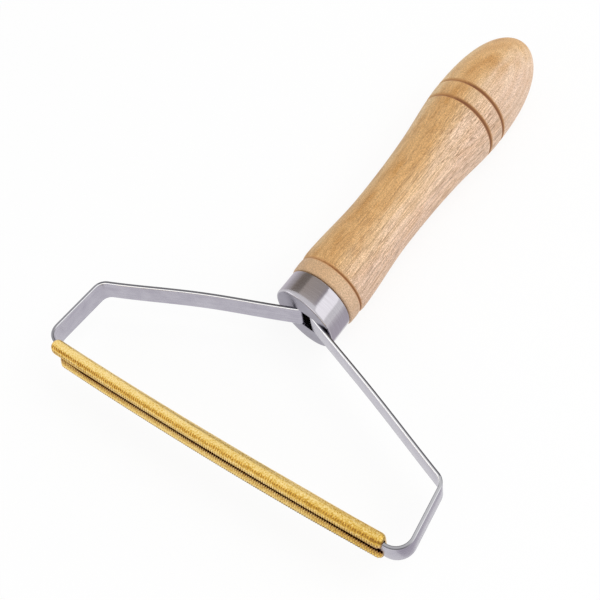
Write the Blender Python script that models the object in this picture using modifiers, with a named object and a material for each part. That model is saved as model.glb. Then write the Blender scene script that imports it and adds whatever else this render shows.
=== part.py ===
"""Double-sided lint remover.

A turned wooden handle, a drawn steel ferrule over its spigot, one steel strip bent into a five-sided
loop, and a brass sheet folded round the strip's lower run, with two toothed lips facing each other
across a slit. Units are metres. The blade runs along X, the handle points along +Y and Z is square to
the plane of the loop. Shapes are drawn from the middle of the blade run, and an empty then brings the
middle of the whole tool to the origin.
"""

import math

import bmesh
import bpy
from mathutils import Matrix, Vector

# Loop: the strip stands on edge, and lengths go to the sharp point of each bend on its middle line
STRIP_WIDTH = 0.0076
STRIP_THICKNESS = 0.0010
BLADE_RUN_HALF = 0.0645
SHOULDER_HALF = 0.0622
SHOULDER_HEIGHT = 0.0232
UPPER_RUN_BOW = 0.0008
CORNER_BEND = 0.0050
SHOULDER_BEND = 0.0038
THROAT_BEND = 0.0020
TANG_SPACING = 0.0030
TANG_LENGTH = 0.0240

# Ferrule: a cup drawn from one sheet, its disc towards the loop
FERRULE_FROM_BLADE = 0.0476
FERRULE_LENGTH = 0.0080
FERRULE_RADIUS = 0.0112
FERRULE_SHEET = 0.0007
FERRULE_EDGE_ROUND = 0.0009

# Handle: lengths run from the wood's shoulder, just behind the ferrule, towards the domed end
HANDLE_LENGTH = 0.1238
COLLAR_LENGTH = 0.0052
COLLAR_RADIUS = 0.0116
COLLAR_ROUND = 0.0010
SWELL_AT = 0.0070
SWELL_RADIUS = 0.0119
WAIST_AT = 0.0331
WAIST_RADIUS = 0.01065
RISE_AT = 0.0645
RISE_RADIUS = 0.01195
RISE_SLOPE = 0.09
BELLY_AT = 0.0871
BELLY_RADIUS = 0.0140
DOME_POWER = 2.5
REAR_GROOVE_AT = 0.0872
GROOVE_SPACING = 0.0074
GROOVE_WIDTH = 0.0011
GROOVE_DEPTH = 0.0005
BORE_RADIUS = 0.0055
BORE_PAST_TANGS = 0.0030

# Blade sleeve: folded sheet with two full rounds, its lips leaning in to a slit between them
SLEEVE_LENGTH = 0.1176
SLEEVE_OFFSET = -0.0005
SLEEVE_HEIGHT = 0.0122
SLEEVE_DEPTH = 0.0047
SLEEVE_SHEET = 0.0004
LIP_LEAN = math.radians(18)
SLIT_WIDTH = 0.0012
TOOTH_PITCH = 0.00074
TOOTH_DEPTH = 0.0006
END_CUT_BACK = 0.0042

# Glue in the handle's bore
GLUE_RECESS = 0.0012

# Clearance between pieces that touch
SEAT_GAP = 0.0003

# Fineness of round shapes
TURNED_SIDES = 32
BODY_STEP = 0.0060
DOME_RINGS = 10
BEND_STEP = math.radians(12)
BOW_STEPS = 8
FOLD_STEPS = 8

# Places that follow from the sizes above
SHOULDER_FROM_BLADE = FERRULE_FROM_BLADE + FERRULE_LENGTH + SEAT_GAP
SPIGOT_RADIUS = FERRULE_RADIUS - FERRULE_SHEET - SEAT_GAP
SPIGOT_FRONT = FERRULE_FROM_BLADE + FERRULE_SHEET + SEAT_GAP
TANG_END = FERRULE_FROM_BLADE + TANG_LENGTH
BORE_END = TANG_END + BORE_PAST_TANGS
SLEEVE_BACK = STRIP_THICKNESS / 2 + SEAT_GAP + SLEEVE_SHEET
SLEEVE_FRONT = SLEEVE_BACK - SLEEVE_DEPTH
HANDLE_TIP = SHOULDER_FROM_BLADE + HANDLE_LENGTH
TOOL_MIDDLE = (HANDLE_TIP + SLEEVE_FRONT) / 2


def new_collection(name):
    collection = bpy.data.collections.new(name)
    bpy.context.scene.collection.children.link(collection)
    return collection


def material(name, colour, roughness, metallic):
    """A Principled BSDF with a linear base colour."""
    made = bpy.data.materials.new(name)
    made.use_nodes = True
    shader = made.node_tree.nodes["Principled BSDF"]
    shader.inputs["Base Color"].default_value = (*colour, 1.0)
    shader.inputs["Roughness"].default_value = roughness
    shader.inputs["Metallic"].default_value = metallic
    return made


def add_object(name, mesh, collection, parent):
    """Link a mesh as an object that hangs from the tool's empty."""
    obj = bpy.data.objects.new(name, mesh)
    collection.objects.link(obj)
    obj.parent = parent
    return obj


def turned(name, profile, collection, parent):
    """Turn (radius, distance from the blade) points about the handle's axis.

    The profile runs down the outer side from the rear to the front, and starts and ends on the axis.
    """
    mesh = bpy.data.meshes.new(name)
    points = [(radius, 0.0, along) for radius, along in profile]
    edges = [(i, i + 1) for i in range(len(points) - 1)]
    mesh.from_pydata(points, edges, [])
    obj = add_object(name, mesh, collection, parent)
    obj.rotation_euler = (-math.pi / 2, 0.0, 0.0)
    screw = obj.modifiers.new("Turn", "SCREW")
    screw.axis = "Z"
    screw.steps = TURNED_SIDES
    screw.render_steps = TURNED_SIDES
    screw.use_merge_vertices = True
    screw.merge_threshold = 0.00001
    screw.use_smooth_shade = True
    return obj


def box_cutter(name, low, high, collection, parent):
    """A box between two corners, for Boolean cuts only."""
    bm = bmesh.new()
    bmesh.ops.create_cube(bm, size=1.0)
    size = [high[i] - low[i] for i in range(3)]
    centre = [(high[i] + low[i]) / 2 for i in range(3)]
    bmesh.ops.transform(bm, matrix=Matrix.LocRotScale(centre, None, size), verts=bm.verts)
    mesh = bpy.data.meshes.new(name)
    bm.to_mesh(mesh)
    bm.free()
    cutter = add_object(name, mesh, collection, parent)
    cutter.hide_render = True
    cutter.display_type = "WIRE"
    return cutter


def cut(obj, cutter):
    boolean = obj.modifiers.new("Cut " + cutter.name, "BOOLEAN")
    boolean.operation = "DIFFERENCE"
    boolean.solver = "EXACT"
    boolean.object = cutter


def bend(before, corner, after, radius):
    """Points of the arc that rounds the corner between two straight runs."""
    back = (before - corner).normalized()
    ahead = (after - corner).normalized()
    half = back.angle(ahead) / 2
    centre = corner + (back + ahead).normalized() * (radius / math.sin(half))
    spoke = corner + back * (radius / math.tan(half)) - centre
    turn = math.pi - 2 * half
    if back.cross(ahead) > 0:
        turn = -turn
    steps = max(3, round(abs(turn) / BEND_STEP))
    arc = []
    for i in range(steps + 1):
        spun = spoke.copy()
        spun.rotate(Matrix.Rotation(turn * i / steps, 2))
        arc.append(centre + spun)
    return arc


def throat_corner():
    """Sharp point between a tang and its upper run, so that the bend ends level with the ferrule's disc."""
    shoulder = Vector((SHOULDER_HALF, SHOULDER_HEIGHT))
    corner = Vector((TANG_SPACING / 2, FERRULE_FROM_BLADE))
    for _ in range(6):
        turn = math.pi - (shoulder - corner).angle(Vector((0.0, 1.0)))
        corner.y = FERRULE_FROM_BLADE - THROAT_BEND * math.tan(turn / 2)
    return corner


def bowed(start, end):
    """Points between two ends of an upper run, which bows outwards and meets both bends straight."""
    run = end - start
    outward = Vector((-run.y, run.x)).normalized()
    points = []
    for i in range(1, BOW_STEPS):
        share = i / BOW_STEPS
        rise = UPPER_RUN_BOW * math.sin(math.pi * share) ** 2
        points.append(start + run * share + outward * rise)
    return points


def half_loop():
    """Middle line of the strip's right half, from the end of the tang to the blade run."""
    tang_end = Vector((TANG_SPACING / 2, TANG_END))
    throat = throat_corner()
    shoulder = Vector((SHOULDER_HALF, SHOULDER_HEIGHT))
    corner = Vector((BLADE_RUN_HALF, 0.0))
    throat_arc = bend(tang_end, throat, shoulder, THROAT_BEND)
    shoulder_arc = bend(throat, shoulder, corner, SHOULDER_BEND)
    corner_arc = bend(shoulder, corner, Vector((0.0, 0.0)), CORNER_BEND)
    upper_run = bowed(throat_arc[-1], shoulder_arc[0])
    return [tang_end] + throat_arc + upper_run + shoulder_arc + corner_arc


def make_frame_strip(collection, parent):
    """A flat strip on edge along the loop's middle line, given its thickness by Solidify."""
    right = half_loop()
    left = [Vector((-point.x, point.y)) for point in reversed(right)]
    path = right + left
    low = -STRIP_WIDTH / 2
    high = STRIP_WIDTH / 2
    points = [(p.x, p.y, z) for p in path for z in (low, high)]
    faces = [(2 * i, 2 * i + 1, 2 * i + 3, 2 * i + 2) for i in range(len(path) - 1)]
    mesh = bpy.data.meshes.new("frame_strip")
    mesh.from_pydata(points, [], faces)
    obj = add_object("frame_strip", mesh, collection, parent)
    solidify = obj.modifiers.new("Thickness", "SOLIDIFY")
    solidify.thickness = STRIP_THICKNESS
    solidify.offset = 0.0
    solidify.use_even_offset = True
    mesh.materials.append(material("satin steel strip", (0.40, 0.39, 0.43), 0.32, 1.0))
    return obj


def ferrule_profile():
    """Section of the cup: inner disc, inner wall, rear rim, outer wall, rounded edge, outer disc."""
    front = FERRULE_FROM_BLADE
    inner_front = front + FERRULE_SHEET
    rear = front + FERRULE_LENGTH
    inner_radius = FERRULE_RADIUS - FERRULE_SHEET
    profile = [(0.0, inner_front), (inner_radius, inner_front), (inner_radius, rear), (FERRULE_RADIUS, rear)]
    for i in range(5):
        angle = math.pi / 2 * i / 4
        profile.append((
            FERRULE_RADIUS - FERRULE_EDGE_ROUND * (1 - math.cos(angle)),
            front + FERRULE_EDGE_ROUND * (1 - math.sin(angle)),
        ))
    profile.append((0.0, front))
    return profile


def make_ferrule(collection, cutters, parent):
    """Drawn cup with one upright slot in its disc for the two tangs."""
    obj = turned("ferrule", ferrule_profile(), collection, parent)
    half_slot = (TANG_SPACING + STRIP_THICKNESS) / 2 + SEAT_GAP
    slot_rise = STRIP_WIDTH / 2 + SEAT_GAP
    slot = box_cutter(
        "ferrule_slot_cutter",
        (-half_slot, FERRULE_FROM_BLADE - FERRULE_SHEET, -slot_rise),
        (half_slot, FERRULE_FROM_BLADE + 2 * FERRULE_SHEET, slot_rise),
        cutters,
        parent,
    )
    cut(obj, slot)
    obj.data.materials.append(material("polished steel ferrule", (0.50, 0.49, 0.51), 0.16, 1.0))
    return obj


def hermite(start, end, share):
    """Cubic between two (place, radius, slope) stations at the given share of the way."""
    length = end[0] - start[0]
    square = share * share
    cube = square * share
    return (
        start[1] * (2 * cube - 3 * square + 1)
        + end[1] * (3 * square - 2 * cube)
        + start[2] * length * (cube - 2 * square + share)
        + end[2] * length * (cube - square)
    )


def body_radius(along):
    """Radius of the wood at a distance from the shoulder, before the grooves are cut."""
    stations = [
        (COLLAR_ROUND, COLLAR_RADIUS, 0.0),
        (SWELL_AT, SWELL_RADIUS, 0.0),
        (WAIST_AT, WAIST_RADIUS, 0.0),
        (RISE_AT, RISE_RADIUS, RISE_SLOPE),
        (BELLY_AT, BELLY_RADIUS, 0.0),
    ]
    if along >= BELLY_AT:
        share = min(1.0, (along - BELLY_AT) / (HANDLE_LENGTH - BELLY_AT))
        return BELLY_RADIUS * math.sqrt(1.0 - share ** DOME_POWER)
    for start, end in zip(stations, stations[1:]):
        if along <= end[0]:
            return hermite(start, end, (along - start[0]) / (end[0] - start[0]))
    return BELLY_RADIUS


def groove_places():
    return [COLLAR_LENGTH, REAR_GROOVE_AT - GROOVE_SPACING, REAR_GROOVE_AT]


def wood_places():
    """Distances from the shoulder at which the turned outline has a ring, from the collar to the tip."""
    count = max(8, round(BELLY_AT / BODY_STEP))
    places = [COLLAR_ROUND + (BELLY_AT - COLLAR_ROUND) * i / count for i in range(count)]
    for i in range(DOME_RINGS):
        left_over = (1 - i / DOME_RINGS) ** 2
        places.append(HANDLE_LENGTH - (HANDLE_LENGTH - BELLY_AT) * left_over)
    half = GROOVE_WIDTH / 2
    for groove in groove_places():
        places = [p for p in places if abs(p - groove) > half * 1.6]
        places += [groove - half, groove, groove + half]
    return sorted(places)


def handle_profile():
    """Section of the wood: domed end, waist, grooves, collar, shoulder, spigot and the blind bore."""
    profile = [(0.0, HANDLE_TIP)]
    for place in reversed(wood_places()):
        radius = body_radius(place)
        if any(abs(place - groove) < GROOVE_WIDTH / 10 for groove in groove_places()):
            radius -= GROOVE_DEPTH
        profile.append((radius, SHOULDER_FROM_BLADE + place))
    for i in range(1, 4):
        angle = math.pi / 2 * i / 3
        profile.append((
            COLLAR_RADIUS - COLLAR_ROUND * (1 - math.cos(angle)),
            SHOULDER_FROM_BLADE + COLLAR_ROUND * (1 - math.sin(angle)),
        ))
    profile += [
        (SPIGOT_RADIUS, SHOULDER_FROM_BLADE),
        (SPIGOT_RADIUS, SPIGOT_FRONT),
        (BORE_RADIUS, SPIGOT_FRONT),
        (BORE_RADIUS, BORE_END),
        (0.0, BORE_END),
    ]
    return profile


def make_handle(collection, parent):
    obj = turned("handle", handle_profile(), collection, parent)
    obj.data.materials.append(material("turned ash", (0.70, 0.47, 0.26), 0.5, 0.0))
    return obj


def make_tang_glue(collection, cutters, parent):
    """The set glue that fills the bore round the two tangs."""
    radius = BORE_RADIUS - SEAT_GAP
    front = SPIGOT_FRONT + GLUE_RECESS
    rear = BORE_END - SEAT_GAP
    profile = [(0.0, rear), (radius, rear), (radius, front), (0.0, front)]
    obj = turned("tang_glue", profile, collection, parent)
    half_width = STRIP_WIDTH / 2 + SEAT_GAP
    half_thickness = STRIP_THICKNESS / 2 + SEAT_GAP
    for side, sign in (("right", 1), ("left", -1)):
        middle = sign * TANG_SPACING / 2
        cutter = box_cutter(
            "tang_cutter_" + side,
            (middle - half_thickness, SPIGOT_FRONT, -half_width),
            (middle + half_thickness, TANG_END + SEAT_GAP, half_width),
            cutters,
            parent,
        )
        cut(obj, cutter)
    obj.data.materials.append(material("amber glue", (0.30, 0.16, 0.05), 0.35, 0.0))
    return obj


def fold_straight():
    """Half the height between the middles of the sleeve's two rounds."""
    return SLEEVE_HEIGHT / 2 - SLEEVE_DEPTH / 2


def lip_wall(z):
    """Place along Y of the leaning part of the front wall at a height."""
    radius = SLEEVE_DEPTH / 2
    end_y = SLEEVE_BACK - radius - radius * math.cos(LIP_LEAN)
    end_z = fold_straight() - radius * math.sin(LIP_LEAN)
    return end_y + (end_z - abs(z)) * math.tan(LIP_LEAN)


def fold_line():
    """Outer line of the folded sheet, as (y, z): lower lip, lower round, back wall, upper round, upper lip."""
    radius = SLEEVE_DEPTH / 2
    middle = SLEEVE_BACK - radius
    root = SLIT_WIDTH / 2 + 2 * TOOTH_DEPTH
    lower = [(lip_wall(root), -root)]
    for i in range(FOLD_STEPS + 1):
        angle = (math.pi + LIP_LEAN) * i / FOLD_STEPS - LIP_LEAN
        lower.append((middle - radius * math.cos(angle), -fold_straight() - radius * math.sin(angle)))
    return lower + [(y, -z) for y, z in reversed(lower)]


def cut_back(y, z):
    """How far the left end stands back: its lower front corner is trimmed off on a slant."""
    down = min(1.0, max(0.0, (fold_straight() - z) / fold_straight()))
    forward = (SLEEVE_BACK - y) / SLEEVE_DEPTH
    return END_CUT_BACK * down * forward


def lip_edge(sign):
    """Saw-tooth edge of one lip from left to right, its tips half a slit from the middle."""
    valley = SLIT_WIDTH / 2 + TOOTH_DEPTH
    left = SLEEVE_OFFSET - SLEEVE_LENGTH / 2 + cut_back(lip_wall(valley), sign * valley)
    right = SLEEVE_OFFSET + SLEEVE_LENGTH / 2
    teeth = max(1, round((right - left) / TOOTH_PITCH))
    points = []
    for i in range(2 * teeth + 1):
        z = SLIT_WIDTH / 2 + (TOOTH_DEPTH if i % 2 == 0 else 0.0)
        x = left + (right - left) * i / (2 * teeth)
        points.append((x, lip_wall(z), sign * z))
    return points


def make_blade_sleeve(collection, parent):
    """One folded sheet: long panels round the fold line, and a flat lip with teeth along each free edge."""
    bm = bmesh.new()
    left_end = SLEEVE_OFFSET - SLEEVE_LENGTH / 2
    right_end = SLEEVE_OFFSET + SLEEVE_LENGTH / 2
    left = []
    right = []
    for y, z in fold_line():
        left.append(bm.verts.new((left_end + cut_back(y, z), y, z)))
        right.append(bm.verts.new((right_end, y, z)))
    for i in range(len(left) - 1):
        bm.faces.new((left[i], left[i + 1], right[i + 1], right[i]))
    lower_lip = [bm.verts.new(point) for point in lip_edge(-1)]
    upper_lip = [bm.verts.new(point) for point in lip_edge(1)]
    bm.faces.new([left[0], right[0]] + lower_lip[::-1])
    bm.faces.new([left[-1]] + upper_lip + [right[-1]])
    mesh = bpy.data.meshes.new("blade_sleeve")
    bm.to_mesh(mesh)
    bm.free()
    obj = add_object("blade_sleeve", mesh, collection, parent)
    solidify = obj.modifiers.new("Sheet", "SOLIDIFY")
    solidify.thickness = SLEEVE_SHEET
    solidify.offset = -1.0
    solidify.use_even_offset = True
    mesh.materials.append(material("brass sheet", (0.75, 0.48, 0.09), 0.28, 1.0))
    return obj


def main():
    for obj in list(bpy.data.objects):
        bpy.data.objects.remove(obj, do_unlink=True)
    parts = new_collection("double_sided_lint_remover")
    cutters = new_collection("cutters")
    middle = bpy.data.objects.new("tool_middle", None)
    parts.objects.link(middle)
    middle.location = (0.0, -TOOL_MIDDLE, 0.0)
    make_handle(parts, middle)
    make_ferrule(parts, cutters, middle)
    make_frame_strip(parts, middle)
    make_blade_sleeve(parts, middle)
    make_tang_glue(parts, cutters, middle)


main()
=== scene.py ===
"""Double-sided lint remover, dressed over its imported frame.

Units are metres. The blade runs along X, the handle points along +Y and Z is square to the plane of the loop.
Lengths along the handle are counted from the middle line of the blade run, as the CAD counts them, and
TOOL_MIDDLE takes them to the frame, whose origin is the middle of the whole tool.
"""

import math

import bpy
import numpy as np
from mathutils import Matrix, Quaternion, Vector


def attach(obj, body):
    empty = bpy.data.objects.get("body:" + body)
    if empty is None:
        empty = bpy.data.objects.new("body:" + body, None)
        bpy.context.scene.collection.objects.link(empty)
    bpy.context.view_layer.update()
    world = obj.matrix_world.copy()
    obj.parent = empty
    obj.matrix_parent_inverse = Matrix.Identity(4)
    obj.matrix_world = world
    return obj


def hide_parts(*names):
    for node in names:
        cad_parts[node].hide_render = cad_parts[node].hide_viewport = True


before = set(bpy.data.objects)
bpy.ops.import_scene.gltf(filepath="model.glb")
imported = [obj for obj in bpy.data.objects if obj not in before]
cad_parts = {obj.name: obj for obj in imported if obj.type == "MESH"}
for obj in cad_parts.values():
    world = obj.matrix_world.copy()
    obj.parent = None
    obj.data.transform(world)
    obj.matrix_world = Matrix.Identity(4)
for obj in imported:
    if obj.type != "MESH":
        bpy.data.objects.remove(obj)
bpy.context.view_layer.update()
scene = bpy.context.scene
scene.view_settings.view_transform = "Standard"


# Camera
# A short telephoto about 32 cm from the tool, above and in front of the blade's right end, rolled a little
# clockwise. Its place was fitted to rims, grooves and strip edges read off the photograph.
CAMERA_PLACE = (0.12222, -0.15864, 0.24534)
CAMERA_AIM = (-0.42115, 0.40539, -0.81135)
CAMERA_ROLL = math.radians(-13.0)
CAMERA_LENS = 60.16

camera = bpy.data.objects.new("camera", bpy.data.cameras.new("camera"))
camera.data.lens = CAMERA_LENS
camera.location = CAMERA_PLACE
aim = Vector(CAMERA_AIM).to_track_quat("-Z", "Y")
camera.rotation_euler = (aim @ Quaternion((0.0, 0.0, 1.0), CAMERA_ROLL)).to_euler()
scene.collection.objects.link(camera)
scene.camera = camera


# World
# An even white studio. Camera, mirror and glass rays see plain white paper, and the light that the room
# itself gives to matt surfaces is lower, so that the lamps model them.
ROOM_LIGHT = 0.64


def add_node(tree, kind, inputs=None, output=None, stops=None, **settings):
    """Add one node and give back one of its outputs, the first in use unless it is named.

    Inputs are sockets by name or number, each with a value or with the output that is linked to it. Stops are
    a colour ramp's places and colours, and the settings are the node's own properties.
    """
    made = tree.nodes.new(kind)
    for name, value in settings.items():
        setattr(made, name, value)
    for name, value in (inputs or {}).items():
        by_name = [s for s in made.inputs if s.enabled and s.name == name]
        socket = made.inputs[name] if isinstance(name, int) else by_name[0]
        if isinstance(value, bpy.types.NodeSocket):
            tree.links.new(value, socket)
        else:
            socket.default_value = value
    for index, (place, colour) in enumerate(stops or []):
        elements = made.color_ramp.elements
        element = elements[index] if index < 2 else elements.new(place)
        element.position = place
        element.color = colour
    return made.outputs[output] if output else next(s for s in made.outputs if s.enabled)


def seen_directly(tree):
    """1 for camera, mirror and glass rays, and 0 for the rays that light matt surfaces."""
    total = add_node(tree, "ShaderNodeLightPath", output="Is Camera Ray")
    path = total.node
    for name in ("Is Glossy Ray", "Is Transmission Ray"):
        both = {0: total, 1: path.outputs[name]}
        total = add_node(tree, "ShaderNodeMath", both, operation="ADD", use_clamp=True)
    return total


world = bpy.data.worlds.new("studio")
world.use_nodes = True
scene.world = world
tree = world.node_tree
direct = seen_directly(tree)
strength = add_node(tree, "ShaderNodeMapRange", {"Value": direct, "To Min": ROOM_LIGHT, "To Max": 1.0})
background = tree.nodes["Background"]
background.inputs["Color"].default_value = (1.0, 1.0, 1.0, 1.0)
tree.links.new(strength, background.inputs["Strength"])


# Lamps
# A softbox up on the right and behind the tool draws the ferrule's broad bright band. A wider one nearly
# overhead models the matt wood and the brass, and two low ones in front draw the strip's bright edges.
# Each has its direction, distance, width, height and power.
SOFTBOX = ((0.73, 0.41, 0.55), 0.9, 0.80, 0.62, 0.77)
OVERHEAD = ((0.45, 0.20, 0.85), 1.2, 0.90, 0.90, 5.0)
FRONT = ((0.05, -0.86, 0.50), 0.9, 0.60, 0.30, 0.45)
LEFT_FRONT = ((-0.84, -0.50, 0.18), 0.9, 0.70, 0.30, 0.50)


def add_softbox(name, direction, distance, width, height, power):
    """A rectangular area lamp that faces the tool."""
    lamp = bpy.data.objects.new(name, bpy.data.lights.new(name, "AREA"))
    lamp.data.shape = "RECTANGLE"
    lamp.data.size = width
    lamp.data.size_y = height
    lamp.data.energy = power
    lamp.location = Vector(direction).normalized() * distance
    lamp.rotation_euler = Vector(direction).to_track_quat("Z", "Y").to_euler()
    scene.collection.objects.link(lamp)
    return lamp


add_softbox("softbox", *SOFTBOX)
add_softbox("front_softbox", *FRONT)
add_softbox("left_front_softbox", *LEFT_FRONT)
overhead = add_softbox("overhead", *OVERHEAD)
overhead.visible_glossy = False


# Floor
# White card under the tool, level with the handle's belly. It shows the paper's white and keeps a faint share
# of its own shading, which is where the tool's shadow is seen.
FLOOR_HALF = 3.0
FLOOR_LEVEL = -0.0140
FLOOR_SHADING = 0.12


def begin_bare_material(name):
    """A material with its emptied tree and the socket that its surface goes into."""
    made = bpy.data.materials.new(name)
    made.use_nodes = True
    tree = made.node_tree
    tree.nodes.clear()
    return made, tree, tree.nodes.new("ShaderNodeOutputMaterial").inputs["Surface"]


def place_object(name, mesh, material):
    """An object at the origin with one material."""
    made = bpy.data.objects.new(name, mesh)
    scene.collection.objects.link(made)
    mesh.materials.append(material)
    return made


floor_mesh = bpy.data.meshes.new("floor")
corners = [(x * FLOOR_HALF, y * FLOOR_HALF, FLOOR_LEVEL) for x, y in ((-1, -1), (1, -1), (1, 1), (-1, 1))]
floor_mesh.from_pydata(corners, [], [(0, 1, 2, 3)])
paper, tree, surface = begin_bare_material("white card, matt")
matt = add_node(tree, "ShaderNodeBsdfDiffuse", {"Color": (1.0, 1.0, 1.0, 1.0)})
white = add_node(tree, "ShaderNodeEmission", {"Color": (1.0, 1.0, 1.0, 1.0), "Strength": 1.0})
share = add_node(tree, "ShaderNodeMapRange", {"Value": seen_directly(tree), "To Max": 1.0 - FLOOR_SHADING})
mixed = add_node(tree, "ShaderNodeMixShader", {0: share, 1: matt, 2: white})
tree.links.new(mixed, surface)
floor = place_object("floor", floor_mesh, paper)


# Grey card
# Two small sheets of grey card by the front of the handle, seen only in polished metal. One curves over it
# from the top down its left side to the floor, the other lies on the floor at its right. They glow with their
# own listed tones, so they give the ferrule its grey and dark bands as painted reflections, and the darker
# floor part near the tool is a painted shadow of it.
CARD_RADIUS = 0.07
CARD_FRONT = -0.0150
CARD_REAR = 0.06
CARD_ROLL_LEFT = -100.0
CARD_ROLL_RIGHT = 28.0
CARD_POINTS = 41
FLOOR_CARD_FRONT = -0.045
FLOOR_CARD_REAR = 0.03
FLOOR_CARD_LEVEL = FLOOR_LEVEL + 0.0003
FLOOR_CARD_NEAR = 0.012
FLOOR_CARD_FAR = 0.14
# Tones by the roll, in degrees from straight up round to the right, with the two ends first
CARD_TONES = [
    (-137, "D8D4D8"), (137, "CCC6CF"),
    (-101, "E2DDE2"), (-97, "DCD7DA"), (-80, "C4BFBF"), (-70, "AFA7A2"), (-63, "93897F"), (-55, "8A8076"),
    (-38, "8E857C"), (-30, "C0B6AC"), (16, "BCB4AE"), (28, "B0A9AE"),
    (95, "F4F2F4"), (105.6, "D6D2D8"), (116, "D2CDD5"),
]


def linear(code):
    """The linear colour of an sRGB hex code."""
    srgb = [int(code[i:i + 2], 16) / 255 for i in (0, 2, 4)]
    return (*[c / 12.92 if c <= 0.04045 else ((c + 0.055) / 1.055) ** 2.4 for c in srgb], 1.0)


def show_to_mirrors_only(card):
    """Hide a card from the camera, from matt surfaces and from shadow: only polished metal sees it."""
    card.visible_camera = False
    card.visible_diffuse = False
    card.visible_transmission = False
    card.visible_shadow = False


roll = np.radians(np.linspace(CARD_ROLL_LEFT, CARD_ROLL_RIGHT, CARD_POINTS))
over_x = np.concatenate([[-FLOOR_CARD_NEAR], CARD_RADIUS * np.sin(roll)])
over_z = np.concatenate([[FLOOR_CARD_LEVEL], CARD_RADIUS * np.cos(roll)])
rims = [np.stack([over_x, np.full_like(over_x, y), over_z], axis=-1) for y in (CARD_FRONT, CARD_REAR)]
rims[0][:1, 1] = FLOOR_CARD_FRONT
card_points = np.stack(rims, axis=1).reshape(-1, 3)
first = 2 * np.arange(len(over_x) - 1)
card_faces = np.stack([first, first + 1, first + 3, first + 2], axis=1).tolist()
flat_corners = [
    (x, y, FLOOR_CARD_LEVEL) for x, y in (
        (FLOOR_CARD_NEAR, FLOOR_CARD_FRONT), (FLOOR_CARD_FAR, FLOOR_CARD_FRONT),
        (FLOOR_CARD_FAR, FLOOR_CARD_REAR), (FLOOR_CARD_NEAR, FLOOR_CARD_REAR),
    )
]
card_faces.append([len(card_points) + i for i in range(4)])
card_points = card_points.tolist() + flat_corners
card_mesh = bpy.data.meshes.new("grey_card")
card_mesh.from_pydata(card_points, [], card_faces)
card_paint, tree, surface = begin_bare_material("grey card, glowing, seen only in mirrors")
place = add_node(tree, "ShaderNodeTexCoord", output="Object")
split = add_node(tree, "ShaderNodeSeparateXYZ", {"Vector": place}).node
angle = add_node(tree, "ShaderNodeMath", {0: split.outputs["X"], 1: split.outputs["Z"]}, operation="ARCTAN2")
turn_share = add_node(tree, "ShaderNodeMapRange", {"Value": angle, "From Min": -math.pi, "From Max": math.pi})
card_tone = add_node(tree, "ShaderNodeValToRGB", {"Fac": turn_share}, stops=[
    (0.5 + degrees / 360, linear(code)) for degrees, code in CARD_TONES
])
glow = add_node(tree, "ShaderNodeEmission", {"Color": card_tone, "Strength": 1.0})
tree.links.new(glow, surface)
card = place_object("grey_card", card_mesh, card_paint)
show_to_mirrors_only(card)


# Floor cards
# Two flat sheets of grey card on the floor, seen only in polished metal, each glowing with its own tone. The
# dark one under the blade is a painted shadow of the tool, mirrored as the dark line along the blade's rear
# edge, and the pale one keeps the right side run from mirroring plain white.
# Each has its name, its left and right end, its front and rear edge from the blade run, and its tone.
TOOL_MIDDLE = 0.0881
FLAT_CARDS = [
    ("blade_card", -0.050, 0.054, -0.0080, 0.0080, "50483E"),
    ("side_card", 0.0665, 0.0900, -0.0100, 0.0400, "CFCBD2"),
]


def lay_floor_card(name, left, right, front, rear, code):
    """A flat card just above the floor, between two places across and two along the tool."""
    mesh = bpy.data.meshes.new(name)
    corners = [(left, front), (right, front), (right, rear), (left, rear)]
    mesh.from_pydata([(x, y - TOOL_MIDDLE, FLOOR_CARD_LEVEL) for x, y in corners], [], [(0, 1, 2, 3)])
    paint, tree, surface = begin_bare_material("grey card on the floor, glowing")
    glow = add_node(tree, "ShaderNodeEmission", {"Color": linear(code), "Strength": 1.0})
    tree.links.new(glow, surface)
    made = place_object(name, mesh, paint)
    show_to_mirrors_only(made)


for flat_card in FLAT_CARDS:
    lay_floor_card(*flat_card)


# Handle
# Turned from one piece of pale hardwood: collar, long waist, belly and dome, with three grooves burnt by a
# wire. Sanded and waxed. A stepped spigot sits inside the ferrule, and a blind bore takes the two tangs.
FERRULE_FROM_BLADE = 0.0476
FERRULE_LENGTH = 0.0080
FERRULE_RADIUS = 0.0112
FERRULE_SHEET = 0.0007
SEAT_GAP = 0.0003
SHOULDER = FERRULE_FROM_BLADE + FERRULE_LENGTH + SEAT_GAP
SPIGOT_RADIUS = FERRULE_RADIUS - FERRULE_SHEET - SEAT_GAP
SPIGOT_FRONT = FERRULE_FROM_BLADE + FERRULE_SHEET + SEAT_GAP
HANDLE_LENGTH = 0.1238
COLLAR_LENGTH = 0.0052
COLLAR_RADIUS = 0.0116
COLLAR_ROUND = 0.0010
SWELL_AT, SWELL_RADIUS = 0.0070, 0.0119
WAIST_AT, WAIST_RADIUS = 0.0331, 0.01065
RISE_AT, RISE_RADIUS, RISE_SLOPE = 0.0645, 0.01195, 0.09
BELLY_AT, BELLY_RADIUS = 0.0871, 0.0140
DOME_POWER = 2.5
GROOVES = np.array([COLLAR_LENGTH, 0.0798, 0.0872])
GROOVE_WIDTHS = np.array([0.0010, 0.0015, 0.0015])
GROOVE_DEPTHS = np.array([0.0003, 0.0005, 0.0005])
GROOVE_SCORCH = np.array([0.8, 1.0, 1.0])
SCORCH_REACH = 0.45
EASE_DEPTH = 0.00025
EASE_REACH = 0.0012
BORE_RADIUS = 0.0055
BORE_END = 0.0746
TURNED_SIDES = 160
ARC_POINTS = 8
RING_STEP = 0.0008
GROOVE_STEP = 0.0001
GROOVE_REACH = 0.0010
DOME_RINGS = 56
DOME_TIP_SHARE = 0.008
# The turned rims and grooves aren't quite square to the handle: towards the right they lie further forward, by
# this share of the way across
LEAN = -0.09
# Where the wood is cut across the grain: all of the collar, and more and more of the dome
CROSS_CUT_PLACES = (COLLAR_LENGTH, COLLAR_LENGTH + 0.001, GROOVES[1], BELLY_AT + 0.01)
CROSS_CUT_SHARES = (1.0, 0.2, 0.0, 0.6)


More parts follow.
